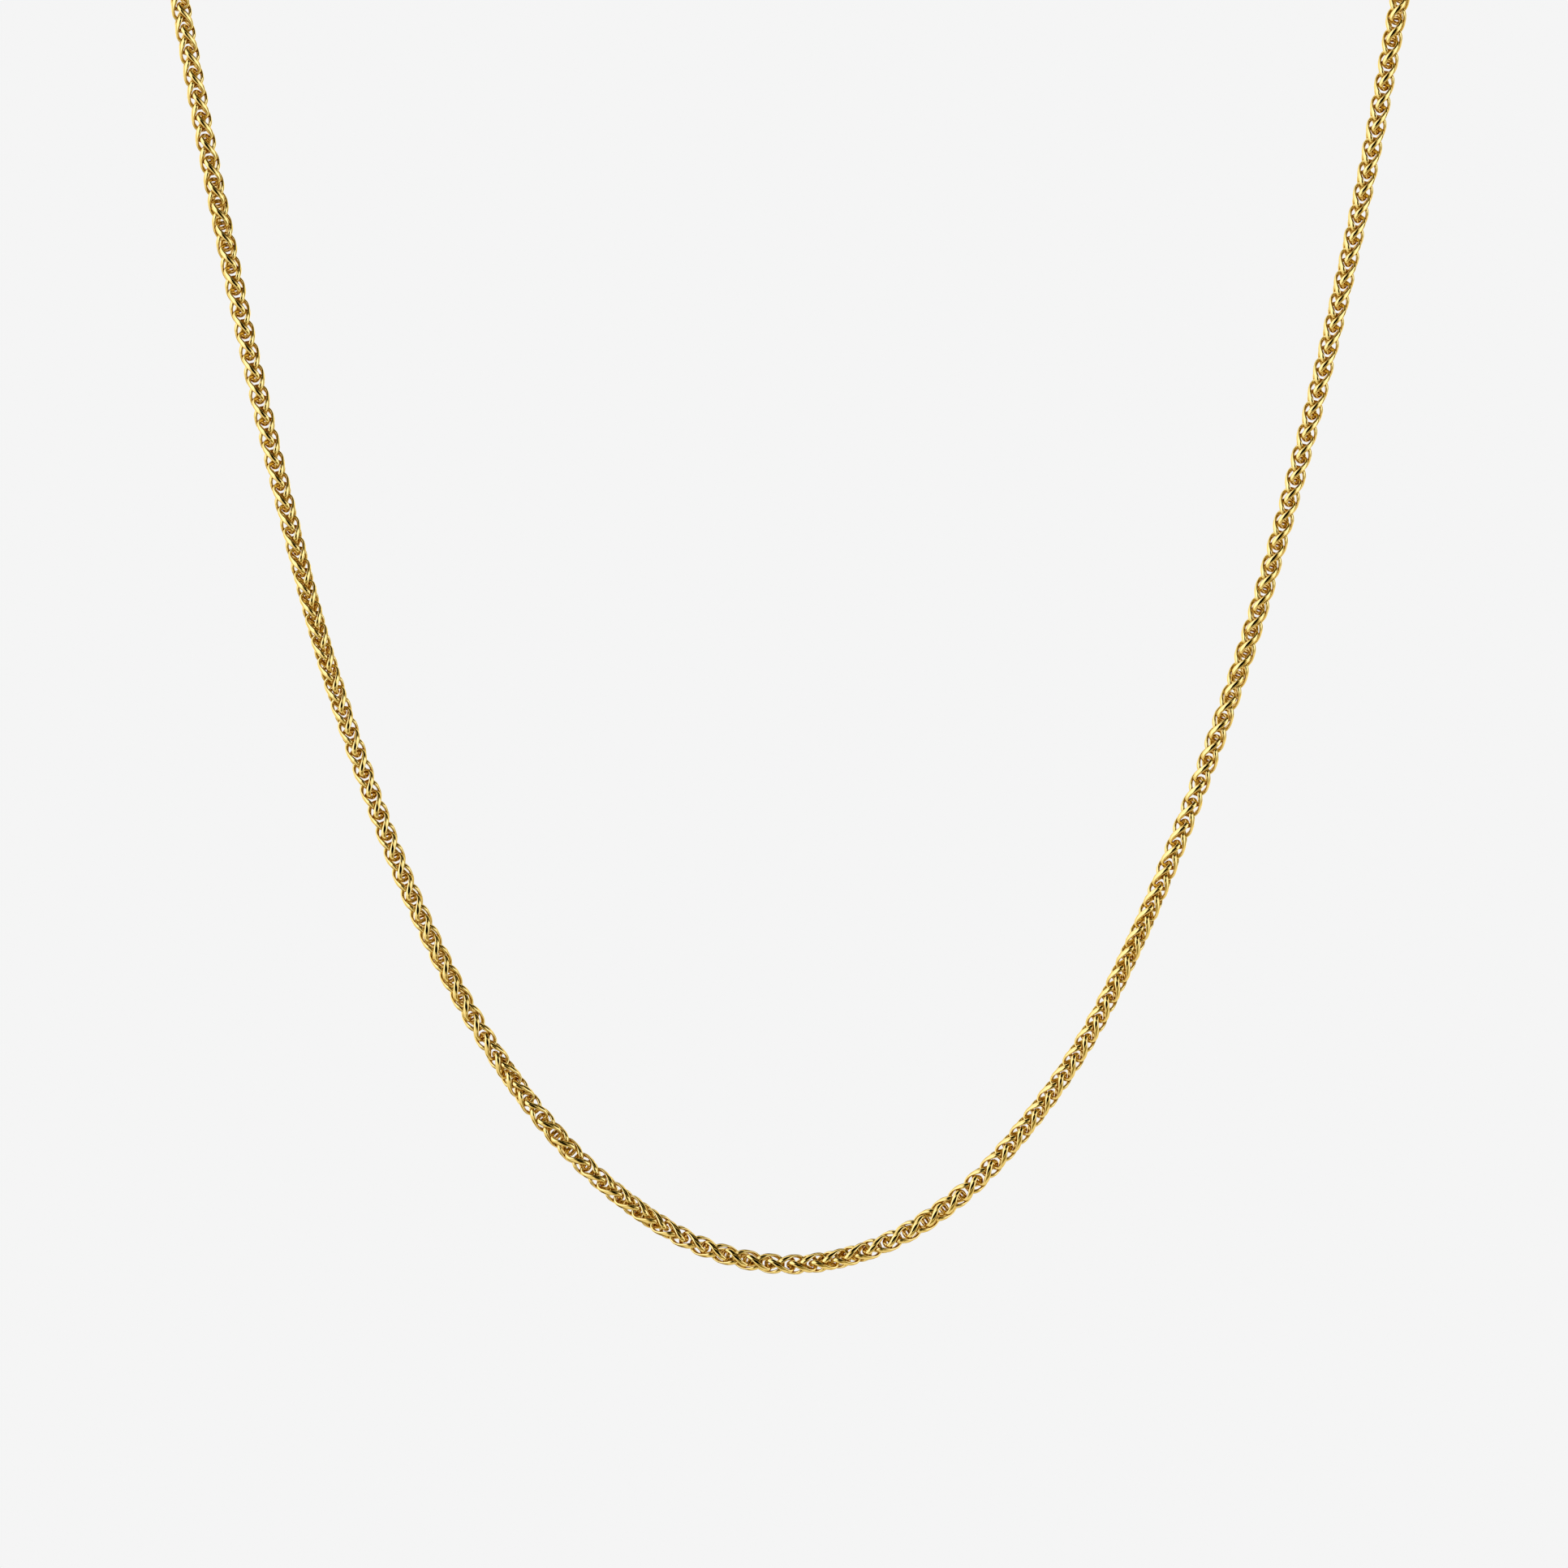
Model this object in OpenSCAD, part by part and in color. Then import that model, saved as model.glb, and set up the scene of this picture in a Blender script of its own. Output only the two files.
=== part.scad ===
// Wheat-link neck chain, 508 mm (20 in) round, held up by the neck that wears it.
// The front drop hangs in one upright plane; the rest rises over the shoulders and
// meets at a clasp behind the neck. +Z is up, -Y is the front, and the origin is the
// middle of the neck hollow, level with the top of the front drop.

/* [Chain] */
// Width of the linked chain, across the outside of its links
chain_d = 1.85; // [1.6:0.05:2.2]
// Sides of the swept chain body
chain_sides = 8; // [8:1:12]
// Rings swept in each span of the route
rings_per_span = 2; // [2:1:3]

/* [Clasp] */
// Width of the clasp's loop, outside to outside
clasp_w = 4.4; // [4.2:0.1:5.2]
// Wire of the clasp's loop
clasp_wire = 1.2; // [1:0.05:1.3]
// Straight length of the clasp's two legs
leg_len = 3.4; // [2.5:0.1:5]
// Outside of the clasp's tail eye
eye_d = 2.5; // [2.4:0.1:2.8]
// Wire of the clasp's tail eye
eye_wire = 0.8; // [0.7:0.05:0.85]
// Height that the thumb nub stands proud of its leg
nub_h = 0.9; // [0.6:0.1:1.2]

/* [End rings] */
// Outside of a ring at the chain's end
ring_d = 3.16; // [3:0.02:3.6]
// Wire of a ring at the chain's end
ring_wire = 0.56; // [0.5:0.02:0.6]
// Gap kept between pieces that hook or meet
fit_gap = 0.15; // [0.1:0.01:0.2]

/* [Colours] */
// Polished yellow gold
gold = "#DDB35C"; // ["#DDB35C", "#E8C27A", "#C99A3E"]

/* [Hidden] */
// Upright plane of the front drop, and the clasp's place behind the neck
front_y = -30;
nape_y = 46;
nape_z = 31;
// Smooth rounds of the rings and the clasp
round_fn = 48;

// Clasp and rings, measured along X from the middle of the clasp
clasp_r = clasp_wire / 2;
loop_r = clasp_w / 2 - clasp_r;
eye_wire_r = eye_wire / 2;
eye_r = eye_d / 2 - eye_wire_r;
ring_wire_r = ring_wire / 2;
ring_r = ring_d / 2 - ring_wire_r;
// The heel and the tail eye share metal over this length
eye_overlap = 0.3;
clasp_len = leg_len + clasp_w + eye_d - eye_overlap;
nose_x = clasp_len / 2 - clasp_w / 2;
heel_x = nose_x - leg_len;
eye_x = eye_d / 2 - clasp_len / 2;
ring_left_x = eye_x - ring_r;
ring_right_x = nose_x + loop_r - clasp_r - fit_gap - ring_wire_r + ring_r;
chain_left_x = ring_left_x - ring_d / 2 - fit_gap;
chain_right_x = ring_right_x + ring_d / 2 + fit_gap;

// Route of the chain's middle line, [x, y, z], from the clasp round by the wearer's
// right shoulder, down, across the lowest point and back up to the clasp
route = [
    [chain_left_x, nape_y, nape_z],
    [-24, 41.5, 31],
    [-39, 30.5, 30],
    [-49, 17, 28],
    [-55, 1, 25],
    [-57.5, -14, 20],
    [-57.3, -24, 13.5],
    [-56.2, -28.6, 7],
    [-54.9, front_y, 0],
    [-52.1, front_y, -15],
    [-49, front_y, -30],
    [-45.5, front_y, -45],
    [-41.5, front_y, -60],
    [-36.3, front_y, -75],
    [-32, front_y, -85],
    [-27, front_y, -94],
    [-21.1, front_y, -102],
    [-14.7, front_y, -108],
    [-7.6, front_y, -112.2],
    [0, front_y, -113.7],
    [7.6, front_y, -112.2],
    [14.7, front_y, -108],
    [20.6, front_y, -102],
    [26.3, front_y, -94],
    [30.9, front_y, -85],
    [35.1, front_y, -75],
    [40.5, front_y, -60],
    [44.9, front_y, -45],
    [48.7, front_y, -30],
    [52, front_y, -15],
    [54.8, front_y, 0],
    [56.2, -28.6, 7],
    [57.3, -24, 13.5],
    [57.5, -14, 20],
    [55, 1, 25],
    [49, 17, 28],
    [39, 30.5, 30],
    [24, 41.5, 31],
    [chain_right_x, nape_y, nape_z]
];

// Smooth line through the route, headed -X where it leaves and reaches the clasp
last = len(route) - 1;
function unit(v) = v / norm(v);
function reach(i) = norm(route[i + 1] - route[i]);
function heading(i) =
    i == 0 || i == last
        ? [-1, 0, 0]
        : (route[i + 1] - route[i - 1]) / (reach(i) + reach(i - 1));
function curve_at(i, t) =
    let (
        t2 = t * t,
        t3 = t2 * t
    )
    (2 * t3 - 3 * t2 + 1) * route[i]
        + (t3 - 2 * t2 + t) * reach(i) * heading(i)
        + (3 * t2 - 2 * t3) * route[i + 1]
        + (t3 - t2) * reach(i) * heading(i + 1);

// Middles of the swept rings, and the way the chain heads at each
middles = [
    for (i = [0 : last - 1], k = [0 : rings_per_span - 1]) curve_at(i, k / rings_per_span),
    route[last]
];
ring_count = len(middles);
function ring_heading(k) =
    k == 0 || k == ring_count - 1 ? [-1, 0, 0] : unit(middles[k + 1] - middles[k - 1]);

// Corner j of swept ring k, set out from the middle of the front drop
drop_mid = [0, front_y, -45];
function corner(k, j) =
    let (
        way = ring_heading(k),
        side = unit(cross(way, middles[k] - drop_mid)),
        out = cross(side, way),
        turn = 360 * j / chain_sides
    )
    middles[k] + chain_d / 2 * (cos(turn) * side + sin(turn) * out);

// The whole chain as one smooth body, open at the clasp
module chain() {
    corners = [
        for (k = [0 : ring_count - 1], j = [0 : chain_sides - 1]) corner(k, j)
    ];
    walls = [
        for (k = [0 : ring_count - 2], j = [0 : chain_sides - 1])
            let (
                here = k * chain_sides + j,
                beside = k * chain_sides + (j + 1) % chain_sides,
                ahead = here + chain_sides,
                ahead_beside = beside + chain_sides
            )
            each [[here, beside, ahead], [beside, ahead_beside, ahead]]
    ];
    start_cap = [for (j = [chain_sides - 1 : -1 : 0]) j];
    end_cap = [for (j = [0 : chain_sides - 1]) (ring_count - 1) * chain_sides + j];
    color(gold) polyhedron(corners, concat(walls, [start_cap, end_cap]), convexity = 10);
}

// Round wire bent to a ring, or to the half of one, lying flat about the origin
module wire_ring(middle_r, wire_r, bend = 360) {
    rotate_extrude(angle = bend, $fn = round_fn)
        translate([middle_r, 0])
            circle(r = wire_r, $fn = round_fn);
}

// Where the clasp and both rings sit
module at_nape() {
    translate([0, nape_y, nape_z]) children();
}

module end_ring(x) {
    color(gold) at_nape() translate([x, 0, 0]) wire_ring(ring_r, ring_wire_r);
}

module end_ring_left() {
    end_ring(ring_left_x);
}

module end_ring_right() {
    end_ring(ring_right_x);
}

// One plain closed piece: a long loop, a tail eye and a thumb nub, flat to the neck
module clasp() {
    color(gold) at_nape() rotate([90, 0, 0]) {
        translate([nose_x, 0, 0]) rotate([0, 0, -90]) wire_ring(loop_r, clasp_r, 180);
        translate([heel_x, 0, 0]) rotate([0, 0, 90]) wire_ring(loop_r, clasp_r, 180);
        for (leg_z = [-loop_r, loop_r])
            translate([heel_x, leg_z, 0])
                rotate([0, 90, 0])
                    cylinder(h = leg_len, r = clasp_r, $fn = round_fn);
        translate([eye_x, 0, 0]) wire_ring(eye_r, eye_wire_r);
        translate([heel_x + leg_len / 4, loop_r, 0])
            rotate([-90, 0, 0])
                cylinder(h = clasp_r + nub_h, r = clasp_r * 0.8, $fn = round_fn);
    }
}

chain();
end_ring_left();
end_ring_right();
clasp();
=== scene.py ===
"""Wheat-link neck chain in polished gold: links, end rings, clasp and a plain studio."""

import logging
import math
from dataclasses import dataclass, field
from enum import Enum

import bpy
import numpy as np
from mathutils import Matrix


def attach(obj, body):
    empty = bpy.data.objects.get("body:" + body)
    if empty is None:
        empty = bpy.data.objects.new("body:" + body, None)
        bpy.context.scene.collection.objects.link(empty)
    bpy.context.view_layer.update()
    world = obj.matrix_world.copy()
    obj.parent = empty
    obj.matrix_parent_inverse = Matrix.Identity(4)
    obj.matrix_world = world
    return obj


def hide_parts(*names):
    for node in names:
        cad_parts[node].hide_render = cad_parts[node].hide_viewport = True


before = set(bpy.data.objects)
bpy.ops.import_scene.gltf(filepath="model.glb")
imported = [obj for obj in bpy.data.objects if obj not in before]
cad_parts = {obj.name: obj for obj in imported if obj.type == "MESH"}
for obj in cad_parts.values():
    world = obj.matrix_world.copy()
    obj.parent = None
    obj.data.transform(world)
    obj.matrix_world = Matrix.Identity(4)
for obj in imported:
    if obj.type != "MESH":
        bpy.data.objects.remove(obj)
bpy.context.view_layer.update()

LOG = logging.getLogger("neck_chain")
MM = 0.001

Colour = tuple[float, float, float]
Point = tuple[float, float, float]


class Lean(Enum):
    """Which way a link is twisted between its two ends."""

    RIGHT = 1
    LEFT = -1


def clear_selection() -> None:
    """Leave nothing selected, in object mode."""
    if bpy.context.object and bpy.context.object.mode != "OBJECT":
        bpy.ops.object.mode_set(mode="OBJECT")
    bpy.ops.object.select_all(action="DESELECT")


def unit(vector: np.ndarray) -> np.ndarray:
    """Scale a vector to length one."""
    return vector / np.linalg.norm(vector)


@dataclass(frozen=True)
class PolishedGold:
    """Polished yellow gold: a slight drift of colour, painted shade between the wires, fine
    buffing marks.

    Lengths are in metres, and scales are waves per metre.
    """

    name: str
    # The two colours that the gold drifts between, over several millimetres
    bright: Colour = (0.87, 0.675, 0.185)
    deep: Colour = (0.84, 0.625, 0.15)
    drift_scale: float = 160.0
    drift_detail: float = 2.0
    # Tint of what is reflected at a flat angle
    rim: Colour = (1.0, 0.8, 0.38)
    # Painted shade: the brown colour painted deep between the wires, where shade falls, how
    # near a wire has to be to shade another, and how open the surface lies where the painted
    # shade starts to fade and where it ends
    painted_shade: Colour = (0.42, 0.19, 0.014)
    painted_shade_reach: float = 0.0006
    painted_shade_start: float = 0.2
    painted_shade_end: float = 0.84
    shade_samples: int = 6
    # Roughness, and the shares of it that the buffing marks vary between
    roughness: float = 0.05
    smoothest: float = 0.7
    roughest: float = 1.4
    buff_scale: float = 5200.0
    buff_detail: float = 3.0
    buff_height: float = 0.000002
    buff_strength: float = 0.4

    def make(self) -> bpy.types.Material:
        """Build the node material.

        Returns:
            The new material.
        """
        material = bpy.data.materials.new(self.name)
        material.use_nodes = True
        tree = material.node_tree
        metal = tree.nodes["Principled BSDF"]
        metal.inputs["Metallic"].default_value = 1.0
        metal.inputs["Specular Tint"].default_value = (*self.rim, 1.0)
        place = tree.nodes.new("ShaderNodeTexCoord")
        self._colour(tree, place, metal)
        self._buff(tree, place, metal)
        return material

    def _colour(
        self, tree: bpy.types.NodeTree, place: bpy.types.Node, metal: bpy.types.Node
    ) -> None:
        """Let the colour drift, and paint shade into it between the wires.

        Args:
            tree: The material's node tree.
            place: The texture coordinate node.
            metal: The shader.
        """
        drift = self._noise(tree, place, self.drift_scale, self.drift_detail)
        colour = self._mix(tree, self.deep, self.bright)
        tree.links.new(drift.outputs["Fac"], colour.inputs["Factor"])
        # Painted shade: the colour turns brown where other wires are near, standing in for
        # shade
        painted_shading = self._mix(tree, self.painted_shade, self.bright)
        tree.links.new(self._openness(tree), painted_shading.inputs["Factor"])
        tree.links.new(colour.outputs["Result"], painted_shading.inputs["B"])
        tree.links.new(painted_shading.outputs["Result"], metal.inputs["Base Color"])

    def _buff(
        self, tree: bpy.types.NodeTree, place: bpy.types.Node, metal: bpy.types.Node
    ) -> None:
        """Add the buffing marks, in the roughness and in the surface.

        Args:
            tree: The material's node tree.
            place: The texture coordinate node.
            metal: The shader.
        """
        buff = self._noise(tree, place, self.buff_scale, self.buff_detail)
        rough = tree.nodes.new("ShaderNodeMapRange")
        rough.inputs["To Min"].default_value = self.roughness * self.smoothest
        rough.inputs["To Max"].default_value = self.roughness * self.roughest
        tree.links.new(buff.outputs["Fac"], rough.inputs["Value"])
        tree.links.new(rough.outputs["Result"], metal.inputs["Roughness"])
        bump = tree.nodes.new("ShaderNodeBump")
        bump.inputs["Distance"].default_value = self.buff_height
        bump.inputs["Strength"].default_value = self.buff_strength
        tree.links.new(buff.outputs["Fac"], bump.inputs["Height"])
        tree.links.new(bump.outputs["Normal"], metal.inputs["Normal"])

    def _openness(self, tree: bpy.types.NodeTree) -> bpy.types.NodeSocket:
        """Add a measure of how open the surface lies, from 0 deep between wires to 1, which
        sets the painted shade.

        Args:
            tree: The material's node tree.

        Returns:
            The socket that gives it.
        """
        shade = tree.nodes.new("ShaderNodeAmbientOcclusion")
        shade.samples = self.shade_samples
        shade.inputs["Distance"].default_value = self.painted_shade_reach
        spread = tree.nodes.new("ShaderNodeMapRange")
        spread.inputs["From Min"].default_value = self.painted_shade_start
        spread.inputs["From Max"].default_value = self.painted_shade_end
        tree.links.new(shade.outputs["AO"], spread.inputs["Value"])
        return spread.outputs["Result"]

    @staticmethod
    def _mix(tree: bpy.types.NodeTree, first: Colour, second: Colour) -> bpy.types.Node:
        """Add a mix of two colours.

        Args:
            tree: The material's node tree.
            first: The colour where the mix's factor is 0.
            second: The colour where the mix's factor is 1.

        Returns:
            The mix node.
        """
        mix = tree.nodes.new("ShaderNodeMix")
        mix.data_type = "RGBA"
        mix.inputs["A"].default_value = (*first, 1.0)
        mix.inputs["B"].default_value = (*second, 1.0)
        return mix

    @staticmethod
    def _noise(
        tree: bpy.types.NodeTree, place: bpy.types.Node, scale: float, detail: float
    ) -> bpy.types.Node:
        """Add a noise on object coordinates.

        Args:
            tree: The material's node tree.
            place: The texture coordinate node.
            scale: Waves per metre.
            detail: Octaves.

        Returns:
            The noise node.
        """
        noise = tree.nodes.new("ShaderNodeTexNoise")
        noise.inputs["Scale"].default_value = scale
        noise.inputs["Detail"].default_value = detail
        tree.links.new(place.outputs["Object"], noise.inputs["Vector"])
        return noise


@dataclass(frozen=True)
class Standing:
    """Where a link sits on the route, in millimetres, and how the route runs there."""

    middle: np.ndarray
    along: np.ndarray
    outward: np.ndarray
    side: np.ndarray


@dataclass
class Route:
    """The chain's middle line, from the clasp round and back to it, in millimetres."""

    # Where the route leaves the clasp and comes back to it, and its way at both
    left_end: float = -6.78
    right_end: float = 6.40
    nape_y: float = 46.0
    nape_z: float = 31.0
    end_way: Point = (-1.0, 0.0, 0.0)
    # The upright plane of the front drop, and the height of the drop's middle
    front_y: float = -30.0
    drop_middle_z: float = -45.0
    # Points on the curve in each span between stations
    samples: int = 60
    # How far either side of a place its way along is measured
    way_reach: float = 0.6
    # The curve's points, how far along it each lies, and its whole length
    curve: np.ndarray = field(init=False)
    distance: np.ndarray = field(init=False)
    length: float = field(init=False)

    def __post_init__(self) -> None:
        """Lay the stations out and measure the curve through them."""
        front = self.front_y
        stations = [
            (self.left_end, self.nape_y, self.nape_z),
            (-24, 41.5, 31), (-39, 30.5, 30), (-49, 17, 28), (-55, 1, 25),
            (-57.5, -14, 20), (-57.3, -24, 13.5), (-56.2, -28.6, 7),
            (-54.9, front, 0), (-52.1, front, -15), (-49, front, -30),
            (-45.5, front, -45), (-41.5, front, -60), (-36.3, front, -75),
            (-32, front, -85), (-27, front, -94), (-21.1, front, -102),
            (-14.7, front, -108), (-7.6, front, -112.2), (0, front, -113.7),
            (7.6, front, -112.2), (14.7, front, -108), (20.6, front, -102),
            (26.3, front, -94), (30.9, front, -85), (35.1, front, -75),
            (40.5, front, -60), (44.9, front, -45), (48.7, front, -30),
            (52, front, -15), (54.8, front, 0),
            (56.2, -28.6, 7), (57.3, -24, 13.5), (57.5, -14, 20),
            (55, 1, 25), (49, 17, 28), (39, 30.5, 30), (24, 41.5, 31),
            (self.right_end, self.nape_y, self.nape_z),
        ]
        points = np.array(stations, float)
        spans = np.linalg.norm(np.diff(points, axis=0), axis=1)
        ways = np.zeros_like(points)
        ways[1:-1] = (points[2:] - points[:-2]) / (spans[1:] + spans[:-1])[:, None]
        ways[[0, -1]] = self.end_way
        # A cubic from each station to the next, headed the stations' ways at its ends
        steps = np.linspace(0.0, 1.0, self.samples, endpoint=False)[:, None]
        pieces = []
        for i, span in enumerate(spans):
            pieces.append(
                (2 * steps**3 - 3 * steps**2 + 1) * points[i]
                + (steps**3 - 2 * steps**2 + steps) * span * ways[i]
                + (3 * steps**2 - 2 * steps**3) * points[i + 1]
                + (steps**3 - steps**2) * span * ways[i + 1]
            )
        self.curve = np.vstack([*pieces, points[-1:]])
        reach = np.linalg.norm(np.diff(self.curve, axis=0), axis=1)
        self.distance = np.concatenate([[0.0], np.cumsum(reach)])
        self.length = float(self.distance[-1])

    def point(self, distance: float) -> np.ndarray:
        """Give the place at a distance along the route."""
        return np.array(
            [np.interp(distance, self.distance, self.curve[:, axis]) for axis in range(3)]
        )

    def standing(self, distance: float) -> Standing:
        """Give the route's place and directions at a distance along it.

        Args:
            distance: Millimetres from the route's start.

        Returns:
            The middle, the way along, the way outwards and the way to the side.
        """
        start = max(0.0, distance - self.way_reach)
        stop = min(self.length, distance + self.way_reach)
        middle = self.point(distance)
        along = unit(self.point(stop) - self.point(start))
        drop_middle = np.array([0.0, self.front_y, self.drop_middle_z])
        side = unit(np.cross(along, middle - drop_middle))
        return Standing(middle, along, np.cross(side, along), side)


@dataclass(frozen=True)
class WheatLink:
    """One twisted oval link of gold wire, in millimetres, lying along Z.

    The wire is round at the link's two ends and broader than thick along its sides,
    where what stands out furthest is worn nearly flat.
    """

    length: float = 2.46
    half_width: float = 0.78
    wire_radius: float = 0.188
    # Shares of the wire's radius on the link's sides, outwards and across that
    thickness: float = 0.8
    breadth: float = 1.3
    # How far out from the chain's middle line wear begins, and the share that it
    # leaves of what stood out further
    rubbed_from: float = 0.895
    rubbed_keep: float = 0.2
    # The oval's power: 2 is an ellipse, and more is fuller at the corners
    squareness: float = 3.0
    # Degrees that the oval twists from its middle to either end, degrees that the
    # very end turns back, and the share of the half length past which it does
    twist: float = 65.0
    ends_back: float = 30.0
    back_from: float = 0.5
    # Points traced round the oval, rings along the wire and corners round a ring
    traced: int = 1440
    rings: int = 44
    sides: int = 12
    # A way that the wire never starts along, from which its first corner is worked out
    first_across: Point = (0.3, 0.5, 0.81)
    # Too small to show, it settles which way is outwards on the middle line itself
    nudge: float = 1e-9

    def centreline(self, lean: Lean, base: float) -> np.ndarray:
        """Trace the middle of the wire.

        Args:
            lean: Which way the oval is twisted.
            base: The turn of the link's middle about its length, in degrees.

        Returns:
            Evenly spaced points round the link, one for each ring of the wire.
        """
        angle = np.linspace(0.0, 2.0 * math.pi, self.traced, endpoint=False)
        rise, run = np.cos(angle), np.sin(angle)
        power = 2.0 / self.squareness
        share = np.sign(rise) * np.abs(rise) ** power
        across = np.sign(run) * np.abs(run) ** power
        back = self.ends_back * (1.0 - np.abs(across)) * np.sign(share)
        back = np.where(np.abs(share) > self.back_from, back, 0.0)
        turn = np.radians(base + lean.value * (self.twist * share - back))
        width = self.half_width * across
        path = np.stack(
            [width * np.cos(turn), width * np.sin(turn), share * self.length / 2.0], axis=1
        )
        closed = np.vstack([path, path[:1]])
        reach = np.linalg.norm(np.diff(closed, axis=0), axis=1)
        distance = np.concatenate([[0.0], np.cumsum(reach)])
        marks = np.linspace(0.0, distance[-1], self.rings, endpoint=False)
        return np.stack([np.interp(marks, distance, closed[:, k]) for k in range(3)], axis=1)

    def wire(self, lean: Lean, base: float) -> np.ndarray:
        """Place the corners of the wire's rings along its middle line.

        Args:
            lean: Which way the oval is twisted.
            base: The turn of the link's middle about its length, in degrees.

        Returns:
            Corners in the order of a torus primitive, ring by ring.
        """
        middles = self.centreline(lean, base)
        ways = np.roll(middles, -1, axis=0) - np.roll(middles, 1, axis=0)
        ways /= np.linalg.norm(ways, axis=1)[:, None]
        normals = [unit(np.cross(ways[0], self.first_across))]
        for way in ways[1:]:
            carried = normals[-1] - way * normals[-1].dot(way)
            normals.append(unit(carried))
        # What the corners have turned by after one round is shared out among the rings
        last = unit(normals[-1] - ways[0] * normals[-1].dot(ways[0]))
        gap = math.atan2(np.cross(last, normals[0]).dot(ways[0]), last.dot(normals[0]))
        corners = []
        for ring, (middle, way, normal) in enumerate(zip(middles, ways, normals)):
            other = np.cross(way, normal)
            outwards = np.array([middle[0], middle[1], 0.0])
            outwards -= way * outwards.dot(way)
            share = min(1.0, np.linalg.norm(outwards) / self.half_width)
            outwards = unit(outwards + self.nudge * normal)
            thick = 1.0 + share * (self.thickness - 1.0)
            broad = 1.0 + share * (self.breadth - 1.0)
            for side in range(self.sides):
                turn = 2.0 * math.pi * side / self.sides + gap * ring / self.rings
                offset = math.cos(turn) * normal + math.sin(turn) * other
                depth = offset.dot(outwards) * outwards
                corners.append(
                    middle + self.wire_radius * (thick * depth + broad * (offset - depth))
                )
        return self._rubbed(np.array(corners))

    def _rubbed(self, corners: np.ndarray) -> np.ndarray:
        """Flatten what stands out furthest from the chain's middle line.

        Args:
            corners: Corners of the unworn wire.

        Returns:
            The corners, with the wire's outer faces worn nearly flat.
        """
        reach = np.hypot(corners[:, 0], corners[:, 1])
        over = np.maximum(0.0, reach - self.rubbed_from)
        drawn_in = 1.0 - over * (1.0 - self.rubbed_keep) / reach
        return corners * np.stack([drawn_in, drawn_in, np.ones_like(reach)], axis=1)

    def build(self, name: str, lean: Lean, base: float) -> bpy.types.Object:
        """Shape one link from a torus primitive.

        Args:
            name: The link's name.
            lean: Which way the oval is twisted.
            base: The turn of the link's middle about its length, in degrees.

        Returns:
            The link, in metres, lying along Z about the origin.
        """
        clear_selection()
        bpy.ops.mesh.primitive_torus_add(
            major_segments=self.rings,
            minor_segments=self.sides,
            major_radius=self.half_width * MM,
            minor_radius=self.wire_radius * MM,
        )
        link = bpy.context.object
        link.name = link.data.name = name
        link.data.vertices.foreach_set("co", (self.wire(lean, base) * MM).ravel())
        bpy.ops.object.mode_set(mode="EDIT")
        bpy.ops.mesh.select_all(action="SELECT")
        bpy.ops.mesh.normals_make_consistent(inside=False)
        bpy.ops.object.mode_set(mode="OBJECT")
        bpy.ops.object.shade_smooth()
        return link


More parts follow.
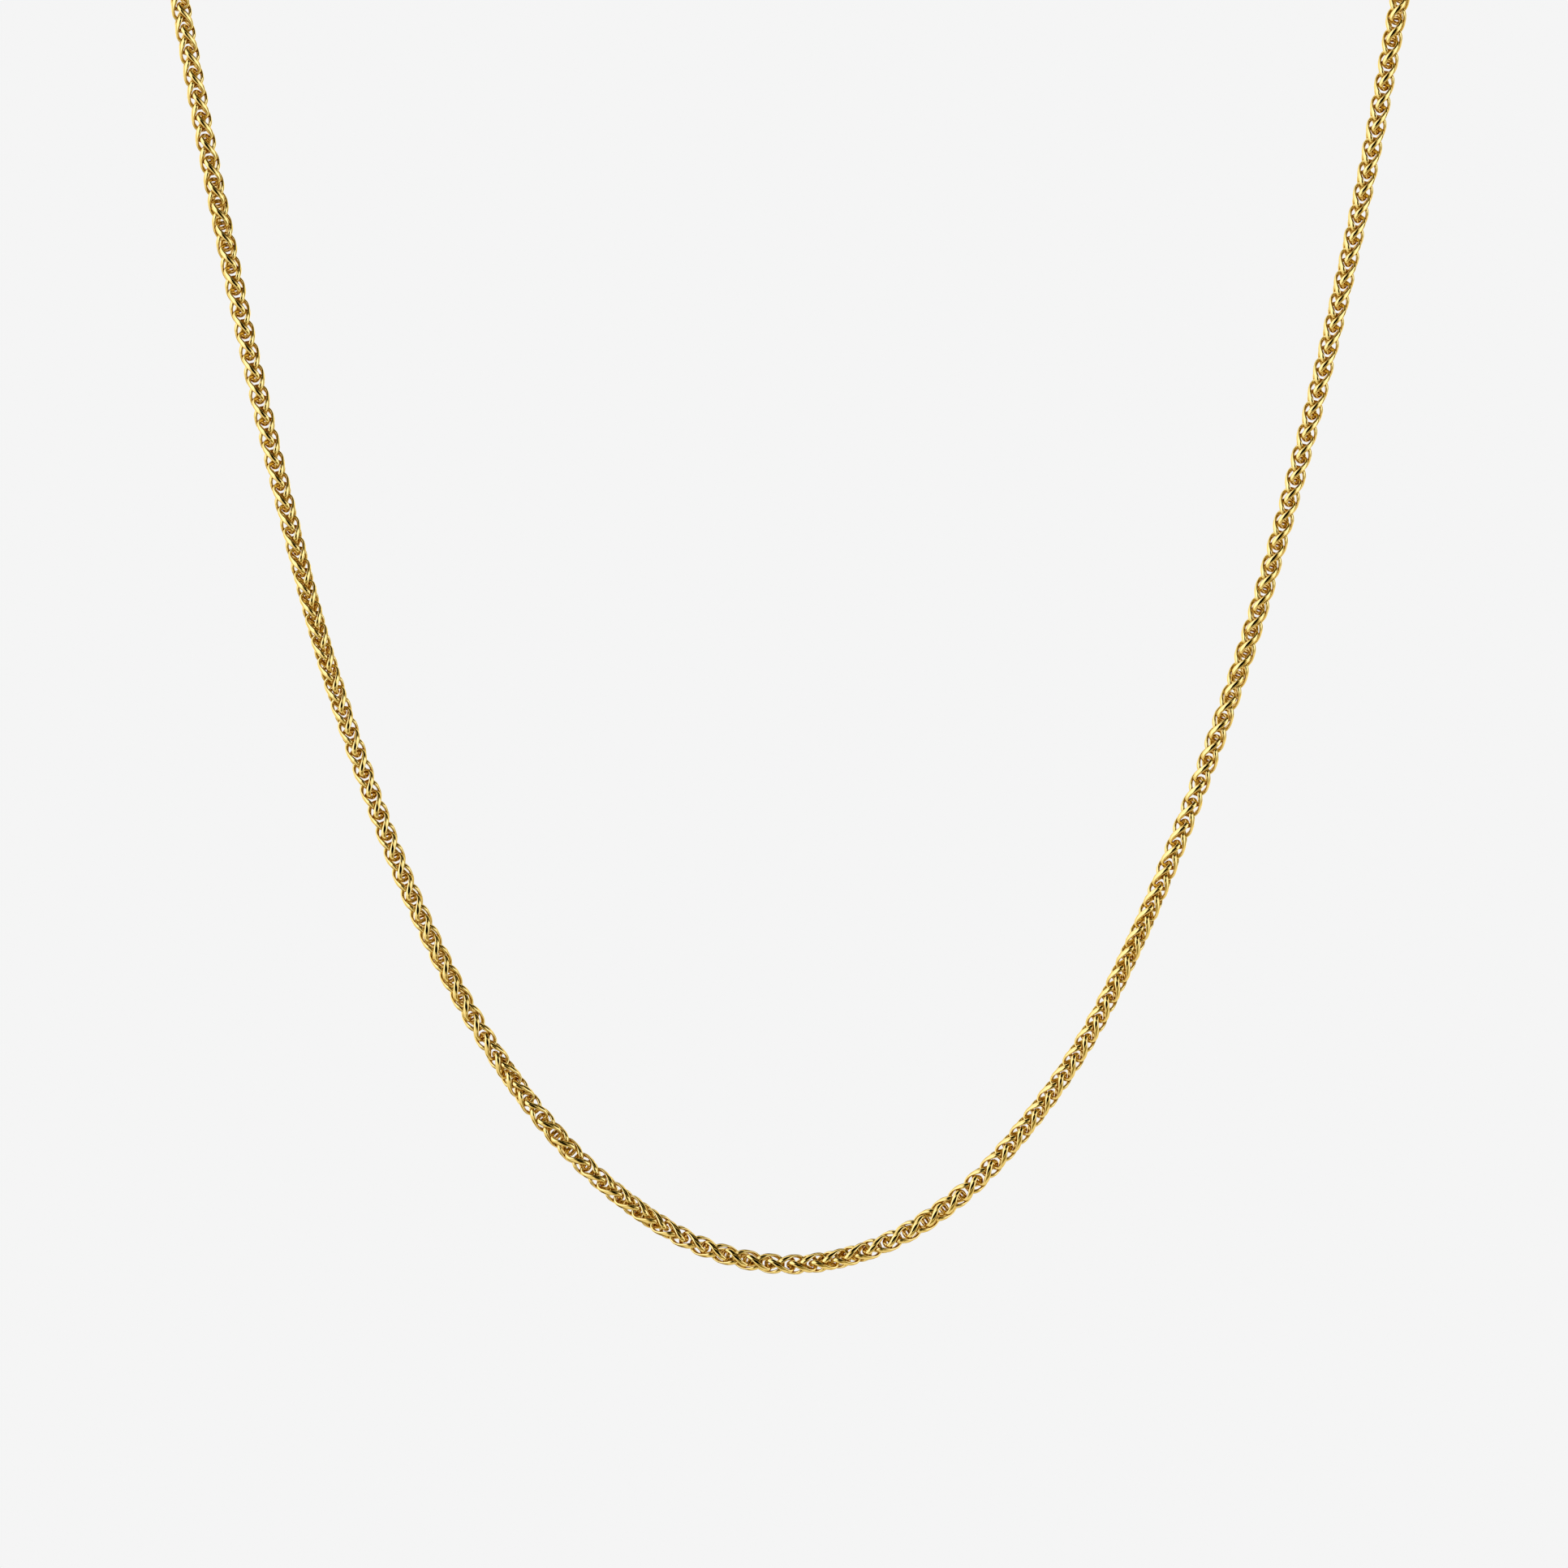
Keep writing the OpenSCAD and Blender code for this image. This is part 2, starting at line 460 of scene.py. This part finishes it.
@dataclass
class LinkedChain:
    """The whole run of links, laid along the route in four stretches."""

    route: Route
    link: WheatLink
    finish: PolishedGold
    # The name of the links' material slot in the record
    slot: str = "polished_gold_links"
    count: int = 494
    # Millimetres that the first and the last link reach past the route's ends
    past_end: float = 0.94
    # Turns of the right-leaning and the left-leaning links about their length, in degrees
    right_base: float = 0.0
    left_base: float = 90.0
    # Left and right here, and in the rings' names, are as seen from the front
    stretch_names: tuple[str, ...] = (
        "links_left_shoulder", "links_left_front", "links_right_front",
        "links_right_shoulder",
    )
    # Turn of the chain about its own length, in degrees, at distances along the route
    turns: tuple[tuple[float, float], ...] = (
        (0, -175), (100, -38), (119.5, -29), (125.5, -27), (131, -13), (137, 4), (141, 14),
        (152, 19), (158, 22), (164, 30), (175, 45), (182, 62), (187, 68), (198.5, 77),
        (207, 89), (210, 97), (213, 111), (216, 130), (219, 147), (222, 167), (225, 187),
        (227.5, 202), (230.5, 211), (233.5, 219), (236.5, 237), (239.5, 250),
        (245, 276), (251, 304), (254, 321), (257, 338), (262.5, 360), (265.5, 375),
        (268.5, 383), (271.5, 390), (278, 391), (286, 387), (292, 401), (298, 417),
        (304, 425), (315, 440), (319, 448), (322, 456), (328, 457), (336, 464), (345, 471),
        (352, 476), (357, 476), (363, 474), (369, 472), (374, 465), (381, 452),
        (495.65, 635),
    )
    # How far links have worked along from an even spacing, in millimetres
    slack: tuple[tuple[float, float], ...] = (
        (0, 0), (118, 0.29), (148, 0.22), (172, 0.15), (190, -0.02), (208, -0.11),
        (221, -0.16), (233, -0.29), (245, -0.36), (263, -0.58), (275, -0.55),
        (287, -0.44), (299, -0.4), (323, -0.25), (347, -0.1), (371, 0.04), (495.65, 0),
    )

    def build(self) -> list[bpy.types.Object]:
        """Model one link of each lean, copy it along the route and join the stretches.

        Returns:
            The stretches, in order along the route.
        """
        masters = [
            self.link.build("link_lean_right", Lean.RIGHT, self.right_base),
            self.link.build("link_lean_left", Lean.LEFT, self.left_base),
        ]
        shapes = []
        for master in masters:
            corners = np.empty(len(master.data.vertices) * 3, np.float32)
            master.data.vertices.foreach_get("co", corners)
            shapes.append(corners.reshape(-1, 3).astype(float))
        first = self.link.length / 2.0 - self.past_end
        last = self.route.length - first
        step = (last - first) / (self.count - 1)
        marks, degrees = zip(*self.turns)
        places, shifts = zip(*self.slack)
        stretches = []
        splits = np.linspace(0, self.count, len(self.stretch_names) + 1).astype(int)
        for name, start, stop in zip(self.stretch_names, splits[:-1], splits[1:]):
            copies = []
            for number in range(start, stop):
                kind = number % len(masters)
                distance = first + step * number
                distance += float(np.interp(distance, places, shifts))
                turn = math.radians(float(np.interp(distance, marks, degrees)))
                copies.append(self._place(masters[kind], shapes[kind], distance, turn))
            stretches.append(self._join(name, copies))
        for master in masters:
            bpy.data.objects.remove(master)
        return stretches

    def _place(
        self, master: bpy.types.Object, shape: np.ndarray, distance: float, turn: float
    ) -> bpy.types.Object:
        """Copy one link to its place on the route.

        Args:
            master: The link to copy.
            shape: The link's corners in metres.
            distance: Millimetres along the route.
            turn: The chain's turn about its own length, in radians.

        Returns:
            The copy, with a mesh of its own.
        """
        here = self.route.standing(distance)
        across = math.cos(turn) * here.outward + math.sin(turn) * here.side
        beside = math.cos(turn) * here.side - math.sin(turn) * here.outward
        places = here.middle * MM + (
            shape[:, :1] * across + shape[:, 1:2] * beside + shape[:, 2:] * here.along
        )
        copy = master.copy()
        copy.data = master.data.copy()
        copy.data.vertices.foreach_set("co", places.ravel())
        bpy.context.scene.collection.objects.link(copy)
        return copy

    @staticmethod
    def _join(name: str, copies: list[bpy.types.Object]) -> bpy.types.Object:
        """Join copies into one piece.

        Args:
            name: The piece's name.
            copies: The links to join.

        Returns:
            The piece.
        """
        clear_selection()
        for copy in copies:
            copy.select_set(True)
        bpy.context.view_layer.objects.active = copies[0]
        bpy.ops.object.join()
        copies[0].name = copies[0].data.name = name
        return copies[0]

    def dress(self, stretches: list[bpy.types.Object]) -> None:
        """Give the stretches their gold and their body, and hide the solid they stand for.

        Args:
            stretches: The joined stretches of links.
        """
        gold = self.finish.make()
        for stretch in stretches:
            stretch.data.materials.clear()
            stretch.data.materials.append(gold)
            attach(stretch, "root")
            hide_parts("chain")
            LOG.info("%s: %d faces", stretch.name, len(stretch.data.polygons))


@dataclass
class Fittings:
    """The end rings and the clasp, which keep their solids and take a gold finish."""

    finish: PolishedGold
    names: tuple[str, ...] = ("end_ring_left", "end_ring_right", "clasp")

    def dress(self) -> None:
        """Give each fitting its gold."""
        gold = self.finish.make()
        for name in self.names:
            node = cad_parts[name]
            node.data.materials.clear()
            node.data.materials.append(gold)
            LOG.info("%s: dressed", name)


@dataclass(frozen=True)
class Panel:
    """A soft round patch of brighter or darker surroundings, seen from the chain.

    The tilt is the angle from the way towards the camera, and the bearing is the turn
    about that way, from the wearer's left upwards. The spread is the angle from the
    patch's middle to its rim, and its brightness fades over the edge's angle either
    side of that. All four angles are in degrees.
    """

    tilt: float
    bearing: float
    spread: float
    brightness: float
    edge: float

    def way(self) -> Point:
        """Give the direction of the patch's middle."""
        tilt, bearing = math.radians(self.tilt), math.radians(self.bearing)
        return (
            math.sin(tilt) * math.cos(bearing), -math.cos(tilt),
            math.sin(tilt) * math.sin(bearing),
        )


@dataclass
class Studio:
    """A plain pale floor, soft light all round and the photograph's camera."""

    # The picture is this wide at the drop's plane, which is this far from the camera
    view_width: float = 0.141
    view_distance: float = 0.9
    camera_place: Point = (-0.00055, -0.930, -0.0705)
    sensor: float = 36.0
    nearest: float = 0.01
    furthest: float = 10.0
    floor_height: float = -0.2
    floor_radius: float = 0.6
    floor_sides: int = 96
    floor_colour: Colour = (0.93, 0.93, 0.93)
    floor_roughness: float = 0.8
    # Brightness of the plain room that all but reflections see
    backdrop: float = 0.913
    # Brightness of the room that reflections see, where no panel hangs
    room: float = 0.95
    # Tints of what reflections see, warm where it is dark and cool where it is bright
    warm: Colour = (1.0, 0.79, 0.36)
    cool: Colour = (1.0, 1.1, 1.9)
    warm_below: float = 0.5
    cool_above: float = 1.35
    # Each panel's tilt, bearing, spread, brightness and edge: the bright ones, the dark
    # ones, the black ones, and those well behind the chain
    panels: tuple[Panel, ...] = (
        Panel(48, 158, 23, 1.45, 9), Panel(68, 184, 21, 1.45, 9),
        Panel(90, 150, 22, 1.35, 10), Panel(72, 2, 25, 1.4, 10),
        Panel(112, 120, 16, 1.2, 10),
        Panel(44, 268, 16, 0.25, 6), Panel(52, 315, 19, 0.25, 6),
        Panel(112, 235, 18, 0.1, 6), Panel(114, 0, 17, 0.1, 6), Panel(26, 355, 10, 0.15, 5),
        Panel(88, 45, 24, 0.0, 4), Panel(46, 58, 17, 0.0, 4), Panel(44, 92, 17, 0.0, 4),
        Panel(64, 90, 23, 0.0, 4), Panel(84, 85, 15, 0.0, 4), Panel(0, 0, 24, 0.0, 4),
        Panel(146, 180, 18, 1.4, 9), Panel(148, 2, 18, 1.35, 9), Panel(146, 92, 15, 0.05, 6),
        Panel(150, 268, 15, 0.3, 6), Panel(180, 0, 12, 0.1, 5),
    )

    def camera(self) -> None:
        """Set the camera where the photograph was taken from."""
        data = bpy.data.cameras.new("camera")
        data.sensor_width = self.sensor
        data.lens = self.sensor * self.view_distance / self.view_width
        data.dof.use_dof = False
        data.clip_start = self.nearest
        data.clip_end = self.furthest
        camera = bpy.data.objects.new("camera", data)
        camera.location = self.camera_place
        camera.rotation_euler = (math.pi / 2.0, 0.0, 0.0)
        bpy.context.scene.collection.objects.link(camera)
        bpy.context.scene.camera = camera

    def floor(self) -> None:
        """Lay a plain pale round floor below the chain, which the gold does not reflect."""
        clear_selection()
        bpy.ops.mesh.primitive_circle_add(
            vertices=self.floor_sides, radius=self.floor_radius, fill_type="NGON",
            location=(0.0, 0.0, self.floor_height),
        )
        floor = bpy.context.object
        floor.name = "floor"
        floor.visible_glossy = False
        pale = bpy.data.materials.new("pale_floor")
        pale.use_nodes = True
        surface = pale.node_tree.nodes["Principled BSDF"]
        surface.inputs["Base Color"].default_value = (*self.floor_colour, 1.0)
        surface.inputs["Roughness"].default_value = self.floor_roughness
        floor.data.materials.append(pale)

    def light(self) -> None:
        """Light the scene from a plain pale room, with panels that only reflections see."""
        world = bpy.data.worlds.new("soft_room")
        bpy.context.scene.world = world
        world.use_nodes = True
        tree = world.node_tree
        tree.nodes.clear()
        plain = tree.nodes.new("ShaderNodeBackground")
        plain.inputs["Color"].default_value = (self.backdrop,) * 3 + (1.0,)
        ray = tree.nodes.new("ShaderNodeLightPath")
        mix = tree.nodes.new("ShaderNodeMixShader")
        tree.links.new(ray.outputs["Is Glossy Ray"], mix.inputs["Fac"])
        tree.links.new(plain.outputs["Background"], mix.inputs[1])
        tree.links.new(self._surroundings(tree), mix.inputs[2])
        output = tree.nodes.new("ShaderNodeOutputWorld")
        tree.links.new(mix.outputs["Shader"], output.inputs["Surface"])

    def _surroundings(self, tree: bpy.types.NodeTree) -> bpy.types.NodeSocket:
        """Add the room that reflections see, with its panels.

        Args:
            tree: The world's node tree.

        Returns:
            The socket of the room's light.
        """
        around = tree.nodes.new("ShaderNodeBackground")
        way = tree.nodes.new("ShaderNodeTexCoord")
        level = tree.nodes.new("ShaderNodeValue")
        level.outputs[0].default_value = self.room
        light = level.outputs[0]
        for panel in self.panels:
            light = self._hang(tree, way.outputs["Generated"], panel, light)
        tree.links.new(light, around.inputs["Strength"])
        tone = tree.nodes.new("ShaderNodeMix")
        tone.data_type = "RGBA"
        tone.inputs["A"].default_value = (*self.warm, 1.0)
        tone.inputs["B"].default_value = (*self.cool, 1.0)
        warmth = tree.nodes.new("ShaderNodeMapRange")
        warmth.inputs["From Min"].default_value = self.warm_below
        warmth.inputs["From Max"].default_value = self.cool_above
        tree.links.new(light, warmth.inputs["Value"])
        tree.links.new(warmth.outputs["Result"], tone.inputs["Factor"])
        tree.links.new(tone.outputs["Result"], around.inputs["Color"])
        return around.outputs["Background"]

    @staticmethod
    def _hang(
        tree: bpy.types.NodeTree,
        way: bpy.types.NodeSocket,
        panel: Panel,
        behind: bpy.types.NodeSocket,
    ) -> bpy.types.NodeSocket:
        """Hang one panel in front of what is there already.

        Args:
            tree: The world's node tree.
            way: The direction being lit from.
            panel: The panel.
            behind: The brightness behind it.

        Returns:
            The brightness with the panel in it.
        """
        outer = math.radians(panel.spread + panel.edge)
        inner = math.radians(panel.spread - panel.edge)
        facing = tree.nodes.new("ShaderNodeVectorMath")
        facing.operation = "DOT_PRODUCT"
        facing.inputs[1].default_value = panel.way()
        inside = tree.nodes.new("ShaderNodeMapRange")
        inside.interpolation_type = "SMOOTHSTEP"
        inside.inputs["From Min"].default_value = math.cos(outer)
        inside.inputs["From Max"].default_value = math.cos(inner)
        blend = tree.nodes.new("ShaderNodeMix")
        blend.inputs["B"].default_value = panel.brightness
        tree.links.new(way, facing.inputs[0])
        tree.links.new(facing.outputs["Value"], inside.inputs["Value"])
        tree.links.new(inside.outputs["Result"], blend.inputs["Factor"])
        tree.links.new(behind, blend.inputs["A"])
        return blend.outputs["Result"]

    def build(self) -> None:
        """Set up the whole studio."""
        self.camera()
        self.floor()
        self.light()
        bpy.context.scene.view_settings.view_transform = "Standard"
        LOG.info("studio: camera, floor and light")


def main() -> None:
    """Build and dress the chain, piece by piece."""
    logging.basicConfig(level=logging.INFO, format="%(name)s %(message)s")
    Studio().build()
    chain = LinkedChain(Route(), WheatLink(), PolishedGold("gold_links"))
    chain.dress(chain.build())
    Fittings(PolishedGold("gold_fittings", roughness=0.07)).dress()


if __name__ == "__main__":
    main()
